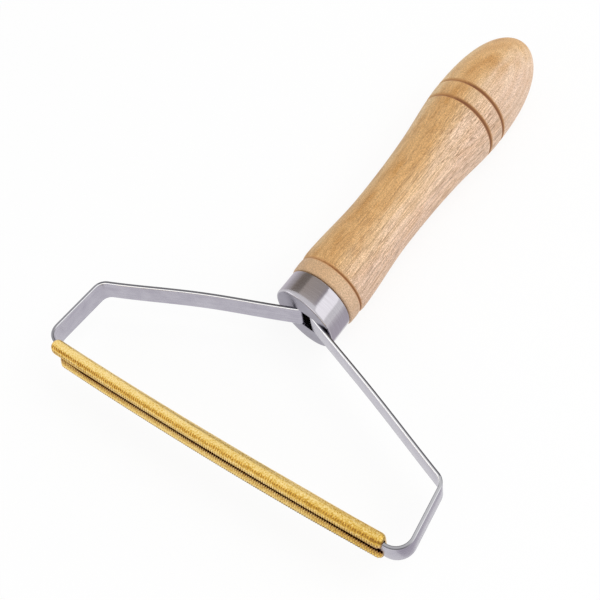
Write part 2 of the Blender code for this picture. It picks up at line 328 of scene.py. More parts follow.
def tube_mesh(name, rings, close_rows=False, caps=False):
    """Mesh of a grid of points whose rows are closed rings.

    A quad joins each point to the next one round its ring and to the same ones on the next ring. With
    close_rows the last ring joins the first, and with caps each end ring is closed by a fan to its mean
    point. The faces are turned outwards, by the sign of the volume.
    """
    count, sides = rings.shape[:2]
    points = rings.reshape(-1, 3)
    row = np.arange(count if close_rows else count - 1)[:, None]
    column = np.arange(sides)[None, :]
    ahead = (row + 1) % count
    beside = (column + 1) % sides
    here, after = row * sides, ahead * sides
    quads = np.stack([here + column, here + beside, after + beside, after + column], -1).reshape(-1, 4)
    fans = np.empty((0, 3), int)
    if caps:
        points = np.vstack([points, rings[0].mean(0), rings[-1].mean(0)])
        first = np.stack([column[0], np.full(sides, count * sides), beside[0]], 1)
        last = np.stack([column[0], beside[0], np.full(sides, count * sides + 1)], 1)
        last[:, :2] += (count - 1) * sides
        fans = np.vstack([first, last])
    triangles = np.vstack([quads[:, :3], quads[:, [0, 2, 3]], fans])
    corner = points[triangles]
    volume = np.einsum("ij,ij->i", corner[:, 0], np.cross(corner[:, 1], corner[:, 2])).sum()
    if volume < 0:
        quads = quads[:, ::-1]
        fans = fans[:, ::-1]
    mesh = bpy.data.meshes.new(name)
    mesh.from_pydata(points.tolist(), [], quads.tolist() + fans.tolist())
    mesh.shade_smooth()
    return mesh


def keep_edges(mesh, degrees):
    """Shade the mesh smooth but keep edges sharper than an angle."""
    mesh.shade_smooth()
    mesh.set_sharp_from_angle(angle=math.radians(degrees))


def store(mesh, name, values):
    """Store one number for each vertex, for the material to read."""
    attribute = mesh.attributes.new(name, "FLOAT", "POINT")
    padded = np.zeros(len(mesh.vertices))
    padded[:len(values)] = values
    attribute.data.foreach_set("value", padded)


def turn(profile):
    """Rings of a turned shape, from (distance from the blade, radius) pairs: each pair goes round the Y axis.

    Each ring leans: its depth changes with x by one share.
    """
    angle = np.linspace(0.0, 2.0 * np.pi, TURNED_SIDES, endpoint=False)
    radius = profile[:, 1][:, None]
    depth = profile[:, 0][:, None] - TOOL_MIDDLE + LEAN * radius * np.sin(angle)
    return np.stack([radius * np.sin(angle), depth, radius * np.cos(angle)], axis=-1)


def groove_shares(along):
    """How deep a place lies in each groove: a parabola, 1 on its middle line and 0 from its edges out."""
    off = (along[:, None] - GROOVES) / (GROOVE_WIDTHS / 2)
    return np.clip(1.0 - off ** 2, 0.0, 1.0)


def wood_radius(along):
    """Radius of the wood by distance from its shoulder.

    Cubic stretches join the collar, swell, waist and rise to the belly with matching slopes. Behind the belly
    a dome follows the square root of one less a power of the share of the way to the tip. The edges of the
    collar's groove are eased by a bell curve, and the grooves are cut last.
    """
    stations = np.array([
        (COLLAR_ROUND, COLLAR_RADIUS, 0.0),
        (SWELL_AT, SWELL_RADIUS, 0.0),
        (WAIST_AT, WAIST_RADIUS, 0.0),
        (RISE_AT, RISE_RADIUS, RISE_SLOPE),
        (BELLY_AT, BELLY_RADIUS, 0.0),
    ])
    place, radius, slope = stations.T
    index = np.clip(np.searchsorted(place, along) - 1, 0, len(place) - 2)
    length = place[index + 1] - place[index]
    share = np.clip((along - place[index]) / length, 0.0, 1.0)
    square, cube = share ** 2, share ** 3
    curve = radius[index] * (2 * cube - 3 * square + 1) + radius[index + 1] * (3 * square - 2 * cube)
    curve += length * (slope[index] * (cube - 2 * square + share) + slope[index + 1] * (cube - square))
    past = np.clip((along - BELLY_AT) / (HANDLE_LENGTH - BELLY_AT), 0.0, 1.0)
    dome = BELLY_RADIUS * np.sqrt(1.0 - past ** DOME_POWER)
    eased = EASE_DEPTH * np.exp(-((along - COLLAR_LENGTH) / EASE_REACH) ** 2)
    return np.where(along >= BELLY_AT, dome, curve) - eased - groove_shares(along) @ GROOVE_DEPTHS


body = np.arange(COLLAR_ROUND, BELLY_AT, RING_STEP)
dome = HANDLE_LENGTH - (HANDLE_LENGTH - BELLY_AT) * np.linspace(1.0, DOME_TIP_SHARE, DOME_RINGS) ** 2
near = np.arange(-GROOVE_REACH, GROOVE_REACH, GROOVE_STEP)
places = np.unique(np.concatenate([body, dome] + [groove + near for groove in GROOVES]))
quarter = np.linspace(0.0, np.pi / 2, ARC_POINTS)[1:]
wood = np.column_stack([SHOULDER + places, wood_radius(places)])[::-1]
collar = np.column_stack([
    SHOULDER + COLLAR_ROUND * (1.0 - np.sin(quarter)),
    COLLAR_RADIUS - COLLAR_ROUND * (1.0 - np.cos(quarter)),
])
spigot = np.array([
    (SHOULDER, SPIGOT_RADIUS),
    (SPIGOT_FRONT, SPIGOT_RADIUS),
    (SPIGOT_FRONT, BORE_RADIUS),
    (BORE_END, BORE_RADIUS),
])
handle_profile = np.vstack([wood, collar, spigot])
handle_mesh = tube_mesh("turned_handle", turn(handle_profile), caps=True)
keep_edges(handle_mesh, 35)
from_shoulder = handle_profile[:, 0] - SHOULDER
burnt = np.exp(-((from_shoulder[:, None] - GROOVES) / (SCORCH_REACH * GROOVE_WIDTHS)) ** 2) @ GROOVE_SCORCH
store(handle_mesh, "burnt", np.repeat(burnt, TURNED_SIDES))
cross_cut = np.interp(from_shoulder, CROSS_CUT_PLACES, CROSS_CUT_SHARES)
store(handle_mesh, "cross_cut", np.repeat(cross_cut, TURNED_SIDES))
in_bore = (handle_profile[:, 1] <= BORE_RADIUS) & (from_shoulder < BORE_END)
in_bore[:len(wood)] = False
store(handle_mesh, "bore", np.repeat(in_bore.astype(float), TURNED_SIDES))


def begin_material(name):
    """A material with its tree, its Principled shader and its object coordinates in millimetres."""
    made = bpy.data.materials.new(name)
    made.use_nodes = True
    tree = made.node_tree
    place = add_node(tree, "ShaderNodeTexCoord", output="Object")
    mm = add_node(tree, "ShaderNodeVectorMath", {0: place, "Scale": 1000.0}, operation="SCALE")
    return made, tree, tree.nodes["Principled BSDF"], mm


def stretched_noise(tree, place, scales, detail, roughness):
    """A noise with this many cells to a unit of the place in each direction."""
    stretched = add_node(tree, "ShaderNodeMapping", {"Vector": place, "Scale": scales})
    inputs = {"Vector": stretched, "Scale": 1.0, "Detail": detail, "Roughness": roughness}
    return add_node(tree, "ShaderNodeTexNoise", inputs)


def plug(tree, shader, **sockets):
    """Give the shader's sockets, named with underscores for spaces, a value or a link."""
    for name, value in sockets.items():
        socket = shader.inputs[name.replace("_", " ")]
        if isinstance(value, bpy.types.NodeSocket):
            tree.links.new(value, socket)
        else:
            socket.default_value = value


# Waxed pale hardwood: golden on the left, paler and pinker on the right, with fine fibre lines. The paler
# right is partly the wood's own colour and partly a painted sheen of the lamps on that side. The thin wax
# leaves it satin, not glossy.
ash, tree, shader, mm = begin_material("pale hardwood, sanded and waxed")
split = add_node(tree, "ShaderNodeSeparateXYZ", {"Vector": mm}).node
# The paler side, partly painted sheen, lies 75 degrees round from the top, towards +X, and its edge wanders by
# about 2 mm.
sap_and_sheen_x = add_node(tree, "ShaderNodeMath", {0: split.outputs["X"], 1: 0.966}, operation="MULTIPLY")
sap_and_sheen = add_node(tree, "ShaderNodeMath", {0: split.outputs["Z"], 1: 0.259, 2: sap_and_sheen_x}, operation="MULTIPLY_ADD")
slow = stretched_noise(tree, mm, (0.16, 0.03, 0.16), 3.0, 0.55)
wander = add_node(tree, "ShaderNodeMath", {0: slow, 1: 9.0, 2: sap_and_sheen}, operation="MULTIPLY_ADD")
side = add_node(tree, "ShaderNodeMapRange", {"Value": wander, "From Min": -2.0, "From Max": 18.0})
wood_tone = add_node(tree, "ShaderNodeValToRGB", {"Fac": side}, stops=[
    (0.0, linear("ECCB97")),
    (1.0, linear("E8CDB8")),
    (0.22, linear("E3B77B")),
    (0.50, linear("E1B479")),
    (0.60, linear("E7BF8A")),
    (0.70, linear("EBCAA2")),
    (0.80, linear("F0D4BA")),
    (0.90, linear("EDD1BC")),
])
# Deeper golden patches, about 5 by 14 mm, lie where the fibres dip below the surface.
patch = stretched_noise(tree, mm, (0.20, 0.065, 0.20), 4.0, 0.6)
patches = add_node(tree, "ShaderNodeMapRange", {"Value": patch, "From Min": 0.50, "From Max": 0.66})
golden = add_node(tree, "ShaderNodeMapRange", {
    "Value": side, "From Min": 0.5, "From Max": 0.8, "To Min": 0.75, "To Max": 0.25,
})
patch_share = add_node(tree, "ShaderNodeMath", {0: patches, 1: golden}, operation="MULTIPLY")
deep_tone = add_node(tree, "ShaderNodeMix", {
    "Factor": patch_share, "A": wood_tone, "B": linear("CE9850"),
}, data_type="RGBA")
# Growth rings lie round a pith 38 mm below the handle, 2 mm apart, and show as nested arcs on the dome.
ring_place = add_node(tree, "ShaderNodeMapping", {
    "Vector": mm, "Location": (8.0, 0.0, 38.0), "Scale": (1.0, 0.05, 1.0),
})
rings = add_node(tree, "ShaderNodeTexWave", {
    "Vector": ring_place, "Scale": 0.16, "Distortion": 3.2, "Detail": 3.0, "Detail Scale": 0.5,
}, wave_type="RINGS", rings_direction="Y", wave_profile="SIN")
cross_cut = add_node(tree, "ShaderNodeAttribute", output="Fac", attribute_name="cross_cut")
ring_tone = add_node(tree, "ShaderNodeValToRGB", {"Fac": rings}, stops=[
    (0.2, (1.02, 1.02, 1.02, 1.0)),
    (0.9, (0.92, 0.87, 0.80, 1.0)),
])
ring_share = add_node(tree, "ShaderNodeMapRange", {
    "Value": cross_cut, "From Max": 0.5, "To Min": 0.35, "To Max": 0.75,
})
MULTIPLY = {"data_type": "RGBA", "blend_type": "MULTIPLY"}
ringed = add_node(tree, "ShaderNodeMix", {"Factor": ring_share, "A": deep_tone, "B": ring_tone}, **MULTIPLY)
# Fibre lines run along the handle. Real ones are 0.1 mm apart, too fine to show, and are drawn about 0.5 mm
# apart, over broader streaks about 1.5 mm apart.
fine = stretched_noise(tree, mm, (3.6, 0.07, 3.6), 2.0, 0.7)
broad = stretched_noise(tree, mm, (1.1, 0.03, 1.1), 2.0, 0.6)
fibre = add_node(tree, "ShaderNodeMath", {0: broad, 1: 0.3, 2: fine}, operation="MULTIPLY_ADD")
fibre_tone = add_node(tree, "ShaderNodeValToRGB", {"Fac": fibre}, stops=[
    (0.50, (1.15, 1.14, 1.13, 1.0)),
    (0.84, (0.40, 0.31, 0.24, 1.0)),
    (0.66, (0.88, 0.84, 0.79, 1.0)),
])
fibre_side = add_node(tree, "ShaderNodeMapRange", {
    "Value": side, "From Min": 0.35, "From Max": 0.75, "To Min": 0.45,
})
fibre_cut = add_node(tree, "ShaderNodeMapRange", {"Value": cross_cut, "To Min": 1.0, "To Max": -0.2})
fibre_share = add_node(tree, "ShaderNodeMath", {0: fibre_side, 1: fibre_cut}, operation="MULTIPLY")
lined = add_node(tree, "ShaderNodeMix", {"Factor": fibre_share, "A": ringed, "B": fibre_tone}, **MULTIPLY)
# Pores and cut fibre ends: small dark specks, thickest where the tool cut across the grain. Real pores are
# 0.1 mm wide, too fine to show, and are drawn 0.3 mm wide.
speck_place = add_node(tree, "ShaderNodeMapping", {"Vector": mm, "Scale": (1.0, 0.7, 1.0)})
specks = add_node(tree, "ShaderNodeTexNoise", {
    "Vector": speck_place, "Scale": 3.3, "Roughness": 0.8,
})
speck_tone = add_node(tree, "ShaderNodeValToRGB", {"Fac": specks}, stops=[
    (0.34, (1.22, 1.22, 1.22, 1.0)),
    (0.66, (0.60, 0.52, 0.42, 1.0)),
])
speck_share = add_node(tree, "ShaderNodeMapRange", {"Value": cross_cut, "To Min": 0.85, "To Max": 1.0})
specked = add_node(tree, "ShaderNodeMix", {"Factor": speck_share, "A": lined, "B": speck_tone}, **MULTIPLY)
# The collar is cut across the grain all round, which leaves it darker and even, with its own specks.
collar_share = add_node(tree, "ShaderNodeMapRange", {"Value": cross_cut, "From Min": 0.7, "To Max": 0.75})
collar_tone = add_node(tree, "ShaderNodeMix", {
    "Factor": collar_share, "A": specked, "B": linear("CDAA86"),
}, data_type="RGBA")
end_speck = add_node(tree, "ShaderNodeMapRange", {
    "Value": specks, "From Min": 0.35, "From Max": 0.65, "To Min": 1.22, "To Max": 0.76,
})
end_grain = add_node(tree, "ShaderNodeCombineXYZ", {"X": end_speck, "Y": end_speck, "Z": end_speck})
bare_wood = add_node(tree, "ShaderNodeMix", {
    "Factor": collar_share, "A": collar_tone, "B": end_grain,
}, **MULTIPLY)
# Grooves are scorched brown, and only here and there on the golden side, where the wire touched lightly.
burnt_mark = add_node(tree, "ShaderNodeAttribute", output="Fac", attribute_name="burnt")
uneven = add_node(tree, "ShaderNodeMath", {0: specks, 1: 0.8, 2: side}, operation="MULTIPLY_ADD")
deep = add_node(tree, "ShaderNodeMapRange", {
    "Value": uneven, "From Min": 0.70, "From Max": 1.05, "To Min": 0.55,
})
scorch = add_node(tree, "ShaderNodeMath", {0: burnt_mark, 1: deep}, operation="MULTIPLY")
scorch_tone = add_node(tree, "ShaderNodeValToRGB", {"Fac": scorch}, stops=[
    (0.2, linear("CB9456")),
    (0.8, linear("83502A")),
])
scorch_share = add_node(tree, "ShaderNodeMapRange", {"Value": scorch, "From Min": 0.05, "From Max": 0.5})
scorched = add_node(tree, "ShaderNodeMix", {
    "Factor": scorch_share, "A": bare_wood, "B": scorch_tone,
}, data_type="RGBA")
# The bore's wall is painted black: painted shade, so that the slot between the tangs looks dark inside.
bore_mark = add_node(tree, "ShaderNodeAttribute", output="Fac", attribute_name="bore")
coloured = add_node(tree, "ShaderNodeMix", {
    "Factor": bore_mark, "A": scorched, "B": linear("140D08"),
}, data_type="RGBA")
grain = add_node(tree, "ShaderNodeBump", {"Height": fibre, "Strength": 0.2, "Distance": 0.0002})
plug(tree, shader, Base_Color=coloured, Roughness=0.55, Normal=grain, Coat_Weight=0.1, Coat_Roughness=0.35)
handle = place_object("turned_handle", handle_mesh, ash)
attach(handle, "root")
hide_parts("handle")


# Ferrule
# A cup drawn from one sheet of steel, pressed over the spigot: polished wall, turned rear rim, rounded front
# edge, and a flat disc with one upright slot for the two tangs.
FERRULE_EDGE_ROUND = 0.0006
RIM_ROUND = 0.00025
TANG_SPACING = 0.0030
STRIP_THICKNESS = 0.0010
STRIP_WIDTH = 0.0076
SLOT_SQUARENESS = 9.0
DISC_RINGS = 9
WALL_RINGS = 8
RIM_POINTS = 9
DISC_FADE = (0.8, 0.5, 0.2)
# The slot is cut wider than the two tangs need, most of all at its right
SLOT_EASE = 0.0006
SLOT_RIGHT_EASE = 0.0028
# The disc leans more than the rear rim, by these shares of the way across and up, and stands further forward
FRONT_LEAN_ACROSS = -0.054
FRONT_LEAN_UP = -0.031
FRONT_AHEAD = 0.0007
SLOT_HALF_WIDTH = (TANG_SPACING + STRIP_THICKNESS) / 2 + SEAT_GAP + SLOT_EASE
SLOT_HALF_HEIGHT = STRIP_WIDTH / 2 + SEAT_GAP


def ring_at(depth, radius, round_share):
    """One ring of the ferrule: the slot's outline where round_share is 0 and a circle where it is 1.

    The slot is a superellipse, whose radius is the inverse root of the summed powers of its two half sizes.
    Between 0 and 1 the two radii are blended. The wood's lean is kept at the rear rim, and towards the disc
    the rings lean further and lie further forward, in step with their distance from that rim.
    """
    angle = np.linspace(0.0, 2.0 * np.pi, TURNED_SIDES, endpoint=False)
    half_width = np.where(np.sin(angle) > 0.0, SLOT_HALF_WIDTH + SLOT_RIGHT_EASE, SLOT_HALF_WIDTH)
    across = np.abs(np.sin(angle) / half_width) ** SLOT_SQUARENESS
    upright = np.abs(np.cos(angle) / SLOT_HALF_HEIGHT) ** SLOT_SQUARENESS
    slot = (across + upright) ** (-1.0 / SLOT_SQUARENESS)
    reach = slot * (1.0 - round_share) + radius * round_share
    x, z = reach * np.sin(angle), reach * np.cos(angle)
    ahead = FRONT_LEAN_ACROSS * x + FRONT_LEAN_UP * z - FRONT_AHEAD
    share = (FERRULE_FROM_BLADE + FERRULE_LENGTH - depth) / FERRULE_LENGTH
    return np.stack([x, depth - TOOL_MIDDLE + LEAN * x + share * ahead, z], -1)


front = FERRULE_FROM_BLADE
rear = FERRULE_FROM_BLADE + FERRULE_LENGTH
inner = FERRULE_RADIUS - FERRULE_SHEET
disc_edge = FERRULE_RADIUS - FERRULE_EDGE_ROUND
rings = [ring_at(front, disc_edge, share) for share in np.linspace(0.0, 1.0, DISC_RINGS)]
for turn_angle in quarter:
    depth = front + FERRULE_EDGE_ROUND * (1.0 - np.cos(turn_angle))
    rings.append(ring_at(depth, disc_edge + FERRULE_EDGE_ROUND * np.sin(turn_angle), 1.0))
wall = np.linspace(front + FERRULE_EDGE_ROUND, rear - RIM_ROUND, WALL_RINGS)[1:]
rings += [ring_at(depth, FERRULE_RADIUS, 1.0) for depth in wall]
for turn_angle in np.linspace(0.0, np.pi, RIM_POINTS)[1:]:
    middle = FERRULE_RADIUS - RIM_ROUND if turn_angle < np.pi / 2 else inner + RIM_ROUND
    depth = rear - RIM_ROUND * (1.0 - np.sin(turn_angle))
    rings.append(ring_at(depth, middle + RIM_ROUND * np.cos(turn_angle), 1.0))
rings += [ring_at(front + FERRULE_SHEET, inner, share) for share in np.linspace(1.0, 0.0, DISC_RINGS)]
ferrule_mesh = tube_mesh("drawn_ferrule", np.array(rings), close_rows=True)
keep_edges(ferrule_mesh, 40)
disc_share = np.zeros(len(rings))
disc_share[:DISC_RINGS] = 1.0
disc_share[DISC_RINGS:DISC_RINGS + len(DISC_FADE)] = DISC_FADE
store(ferrule_mesh, "disc", np.repeat(disc_share, TURNED_SIDES))

# Polished steel: nearly a mirror on the wall, with fine drawing lines round it, and a softer, brushed disc.
# The disc's darker grey is painted shade: the shadowed floor and strip that it mirrors.
steel, tree, shader, mm = begin_material("drawn steel, polished wall and brushed disc")
disc = add_node(tree, "ShaderNodeAttribute", output="Fac", attribute_name="disc")
# Drawing lines are 0.05 mm apart in truth, and are drawn 0.5 mm apart so that they show.
lines = stretched_noise(tree, mm, (0.12, 2.0, 0.12), 3.0, 0.5)
cloud = add_node(tree, "ShaderNodeTexNoise", {"Vector": mm, "Scale": 0.35})
wall_tone = add_node(tree, "ShaderNodeValToRGB", {"Fac": lines}, stops=[
    (0.3, linear("BAB6BC")),
    (0.7, linear("C2BFC5")),
])
disc_shade_tone = add_node(tree, "ShaderNodeValToRGB", {"Fac": cloud}, stops=[
    (0.3, linear("8D8995")),
    (0.7, linear("9793A0")),
])
steel_tone = add_node(tree, "ShaderNodeMix", {
    "Factor": disc, "A": wall_tone, "B": disc_shade_tone,
}, data_type="RGBA")
rough = add_node(tree, "ShaderNodeMapRange", {"Value": disc, "To Min": 0.13, "To Max": 0.28})
plug(tree, shader, Base_Color=steel_tone, Metallic=1.0, Roughness=rough)
ferrule = place_object("drawn_ferrule", ferrule_mesh, steel)
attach(ferrule, "root")
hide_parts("ferrule")


# Frame strip
# One length of flat steel strip, 7.6 by 1 mm, bent on edge into the loop: two tangs, two bowed upper runs,
# two side runs and the run that carries the blade. Its rolled edges are rounded, with painted highlights and
# painted shade along them.
BLADE_RUN_HALF = 0.0645
SHOULDER_HALF = 0.0622
SHOULDER_HEIGHT = 0.0232
UPPER_RUN_BOW = 0.0008
CORNER_BEND = 0.0050
SHOULDER_BEND = 0.0038
THROAT_BEND = 0.0012
THROAT_INSIDE = 0.0007
THROAT_ROUNDS = 6
TANG_LENGTH = 0.0240
EDGE_ROUND = 0.00026
STRIP_STEP = 0.0015
BEND_POINTS = 15
EDGE_POINTS = 6
# The loop in the picture was bent by hand, so its two halves differ from each other by up to 2 mm
RIGHT_RUN_BOW = 0.0003
RIGHT_SHOULDER_FALL = 0.0005
LEFT_SHOULDER_RISE = 0.0010
LEFT_SHOULDER_IN = 0.0004
LEFT_CORNER_IN = 0.0018
RIGHT_TANG_OUT = 0.0008
# Painted light and shade on its narrow faces, from 0 dark to 1 bright. Rounded edges that face the front get a
# painted highlight, and those that face the handle painted shade. The flat edge of the left upper run is
# painted dark and that of the right one bright. Close to the blade on the right they take tones of their own
HIGHLIGHT_WAY = np.array([0.35, -0.94])
HIGHLIGHT_CONTRAST = 0.8
LEFT_RUN_TONE, RIGHT_RUN_TONE, TONE_TURN = 0.15, 0.95, 0.004
LEFT_SIDE_TONE, RIGHT_SIDE_TONE = 0.4, 0.6
DARK_BELOW = 0.3
BY_BLADE_FLAT, BY_BLADE_EDGE = 0.5, 0.1
BY_BLADE_FROM, BY_BLADE_REACH = 0.002, 0.004
# Inside the blade's fold it is painted dark reddish brown, painted shade seen through the slit, to this far
# out and up
FOLD_SHADE_HALF, FOLD_SHADE_FADE, FOLD_SHADE_HEIGHT = 0.0565, 0.0010, 0.0020


def rounded(before, corner, after, radius):
    """Points of the arc that rounds a corner between two straight runs, tangent to both."""
    back = (before - corner) / np.linalg.norm(before - corner)
    ahead = (after - corner) / np.linalg.norm(after - corner)
    half = np.arccos(np.clip(back @ ahead, -1.0, 1.0)) / 2
    middle = (back + ahead) / np.linalg.norm(back + ahead)
    centre = corner + middle * radius / np.sin(half)
    sweep = np.linspace(-1.0, 1.0, BEND_POINTS) * (np.pi / 2 - half)
    sideways = np.array([-middle[1], middle[0]]) * np.sign(back[0] * middle[1] - back[1] * middle[0])
    return centre - radius * (np.outer(np.cos(sweep), middle) - np.outer(np.sin(sweep), sideways))


def straight(start, end, bow=0.0):
    """Inner points of a run between two ends, bowed to its left by a squared sine."""
    count = max(2, int(np.linalg.norm(end - start) / STRIP_STEP))
    share = (np.arange(1, count) / count)[:, None]
    run = end - start
    outward = np.array([-run[1], run[0]]) / np.linalg.norm(run)
    return start + run * share + outward * bow * np.sin(np.pi * share) ** 2


def half_loop(tang, shoulder, corner, bow):
    """Points of one half of the loop on the +X side, from the tang's end to the middle of the blade run.

    The throat's corner is stepped towards its place, because the bend's reach depends on the run's slope.
    """
    tang_end = np.array([tang, FERRULE_FROM_BLADE + TANG_LENGTH])
    throat = np.array([tang, FERRULE_FROM_BLADE])
    for _ in range(THROAT_ROUNDS):
        slope = shoulder - throat
        throat_turn = np.pi - np.arccos(slope[1] / np.linalg.norm(slope))
        throat[1] = FERRULE_FROM_BLADE + THROAT_INSIDE - THROAT_BEND * np.tan(throat_turn / 2)
    blade_middle = np.array([0.0, 0.0])
    throat_arc = rounded(tang_end, throat, shoulder, THROAT_BEND)
    shoulder_arc = rounded(throat, shoulder, corner, SHOULDER_BEND)
    corner_arc = rounded(shoulder, corner, blade_middle, CORNER_BEND)
    return np.vstack([
        tang_end,
        straight(tang_end, throat_arc[0]),
        throat_arc,
        straight(throat_arc[-1], shoulder_arc[0], bow),
        shoulder_arc,
        straight(shoulder_arc[-1], corner_arc[0]),
        corner_arc,
        straight(corner_arc[-1], blade_middle),
    ])


right_half = half_loop(
    TANG_SPACING / 2 + RIGHT_TANG_OUT,
    np.array([SHOULDER_HALF, SHOULDER_HEIGHT - RIGHT_SHOULDER_FALL]),
    np.array([BLADE_RUN_HALF, 0.0]),
    RIGHT_RUN_BOW,
)
left_half = half_loop(
    TANG_SPACING / 2,
    np.array([SHOULDER_HALF - LEFT_SHOULDER_IN, SHOULDER_HEIGHT + LEFT_SHOULDER_RISE]),
    np.array([BLADE_RUN_HALF - LEFT_CORNER_IN, 0.0]),
    UPPER_RUN_BOW,
)
path = np.vstack([right_half, [[0.0, 0.0]], left_half[::-1] * (-1.0, 1.0)])
segment = np.diff(path, axis=0)
segment /= np.linalg.norm(segment, axis=1)[:, None]
heading = np.vstack([segment[:1], segment[:-1] + segment[1:], segment[-1:]])
heading /= np.linalg.norm(heading, axis=1)[:, None]
outward = np.stack([-heading[:, 1], heading[:, 0]], axis=1)
half_thick = STRIP_THICKNESS / 2
edge_arc = np.linspace(0.0, np.pi / 2, EDGE_POINTS)
thick_part = half_thick - EDGE_ROUND + EDGE_ROUND * np.sin(edge_arc)
wide_part = STRIP_WIDTH / 2 - EDGE_ROUND + EDGE_ROUND * np.cos(edge_arc)
section_thick = np.concatenate([thick_part, thick_part[::-1], -thick_part, -thick_part[::-1]])
section_wide = np.concatenate([wide_part, -wide_part[::-1], -wide_part, wide_part[::-1]])
strip_rings = np.stack([
    path[:, 0][:, None] + outward[:, 0][:, None] * section_thick,
    path[:, 1][:, None] + outward[:, 1][:, None] * section_thick - TOOL_MIDDLE,
    np.broadcast_to(section_wide, (len(path), len(section_wide))),
], axis=-1)
strip_mesh = tube_mesh("bent_strip", strip_rings, caps=True)
keep_edges(strip_mesh, 40)
steps = np.linalg.norm(np.diff(path, axis=0), axis=1)
run_mm = np.concatenate([[0.0], np.cumsum(steps)]) * 1000
store(strip_mesh, "run_mm", np.repeat(run_mm, len(section_wide)))
# Edges facing the front lamps get a painted highlight, and edges facing the handle painted shade
facing = np.clip(0.5 + HIGHLIGHT_CONTRAST * (outward @ HIGHLIGHT_WAY[:, None] * np.sign(section_thick)), 0.0, 1.0)
upper_run = path[:, 1] > SHOULDER_HEIGHT
on_right = path[:, 0] > 0.0
run_tone = np.interp(path[:, 0], [-TONE_TURN, TONE_TURN], [LEFT_RUN_TONE, RIGHT_RUN_TONE])
side_tone = np.where(on_right, RIGHT_SIDE_TONE, LEFT_SIDE_TONE)
flat_tone = np.where(upper_run, run_tone, side_tone)[:, None]
from_blade = np.clip((path[:, 1] - BY_BLADE_FROM) / BY_BLADE_REACH, 0.0, 1.0)
above_blade = np.where(on_right, from_blade, 1.0)[:, None]
flat_tone = flat_tone * above_blade + BY_BLADE_FLAT * (1.0 - above_blade)
facing = facing * above_blade + BY_BLADE_EDGE * (1.0 - above_blade)
rounding = np.clip((np.abs(section_thick) - (half_thick - EDGE_ROUND)) / (0.4 * EDGE_ROUND), 0.0, 1.0)
rounding = np.where((facing < DARK_BELOW) & (upper_run & on_right)[:, None], 1.0, rounding)
painted_edge_light = facing * rounding + flat_tone * (1.0 - rounding)
on_edge = np.clip((np.abs(section_wide) - (STRIP_WIDTH / 2 - EDGE_ROUND)) / (0.2 * EDGE_ROUND), 0.0, 1.0)
store(strip_mesh, "edge", np.tile(on_edge, len(path)))
store(strip_mesh, "painted_edge_light", painted_edge_light.ravel())
in_fold = np.clip((FOLD_SHADE_HALF - np.abs(path[:, 0])) / FOLD_SHADE_FADE, 0.0, 1.0) * (path[:, 1] < FOLD_SHADE_HEIGHT)
store(strip_mesh, "fold_shade", np.repeat(in_fold, len(section_wide)))

# Satin rolled steel: grey with a violet cast, softened by rolling lines along the strip, with painted
# highlights and painted shade on its edges. The lines are 0.05 mm apart in truth, and are drawn 0.6 mm apart
# so that they show.
satin, tree, shader, mm = begin_material("rolled steel strip, satin")
run = add_node(tree, "ShaderNodeAttribute", output="Fac", attribute_name="run_mm")
height = add_node(tree, "ShaderNodeSeparateXYZ", {"Vector": mm}, output="Z")
flat = add_node(tree, "ShaderNodeCombineXYZ", {"X": run, "Y": height})
lines = stretched_noise(tree, flat, (0.06, 1.6, 1.0), 4.0, 0.6)
cloud = add_node(tree, "ShaderNodeTexNoise", {"Vector": mm, "Scale": 0.22, "Detail": 4.0, "Roughness": 0.6})
both = add_node(tree, "ShaderNodeMath", {0: lines, 1: cloud}, operation="ADD")
flat_share = add_node(tree, "ShaderNodeMapRange", {"Value": both, "From Min": 0.75, "From Max": 1.25})
flat_colour = add_node(tree, "ShaderNodeValToRGB", {"Fac": flat_share}, stops=[
    (0.0, linear("A9A5B1")),
    (1.0, linear("BAB7C1")),
])
edge = add_node(tree, "ShaderNodeAttribute", output="Fac", attribute_name="edge")
painted_edge_mark = add_node(tree, "ShaderNodeAttribute", output="Fac", attribute_name="painted_edge_light")
edge_colour = add_node(tree, "ShaderNodeValToRGB", {"Fac": painted_edge_mark}, stops=[
    (0.0, linear("565558")),
    (1.0, linear("FAFAFC")),
    (0.4, linear("8E8D92")),
])
bare_steel = add_node(tree, "ShaderNodeMix", {
    "Factor": edge, "A": flat_colour, "B": edge_colour,
}, data_type="RGBA")
# Painted shade where the strip runs inside the blade's fold
fold_shade = add_node(tree, "ShaderNodeAttribute", output="Fac", attribute_name="fold_shade")
strip_tone = add_node(tree, "ShaderNodeMix", {
    "Factor": fold_shade, "A": bare_steel, "B": linear("6E2A08"),
}, data_type="RGBA")
worn = add_node(tree, "ShaderNodeMapRange", {
    "Value": lines, "From Min": 0.3, "From Max": 0.7, "To Min": 0.20, "To Max": 0.28,
})
rough = add_node(tree, "ShaderNodeMix", {0: edge, 2: worn, 3: 0.12})
plug(tree, shader, Base_Color=strip_tone, Metallic=1.0, Roughness=rough)
strip = place_object("bent_strip", strip_mesh, satin)
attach(strip, "root")
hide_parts("frame_strip")


# Scraper blade
# One sheet of brass folded round the strip's lower run into two full rounds, with fine ribs pressed across
# them. Its two toothed lips lean in to a slit between the rounds, closed at the left end.
SLEEVE_LENGTH = 0.1176
SLEEVE_OFFSET = -0.0005
SLEEVE_HEIGHT = 0.0122
SLEEVE_DEPTH = 0.0047
SLEEVE_SHEET = 0.0004
SLEEVE_BACK = STRIP_THICKNESS / 2 + SEAT_GAP + SLEEVE_SHEET
ROUND_RADIUS = SLEEVE_DEPTH / 2
ROUND_MIDDLE = SLEEVE_BACK - ROUND_RADIUS
ROUND_HEIGHT = SLEEVE_HEIGHT / 2 - ROUND_RADIUS
LIP_LEAN = math.radians(18)
TOOTH_PITCH = 0.00074
TOOTH_DEPTH = 0.0006
SAMPLES_PER_TOOTH = 4
ROUND_POINTS = 24
LIP_POINTS = 7
RIB_DEPTH = 0.00020
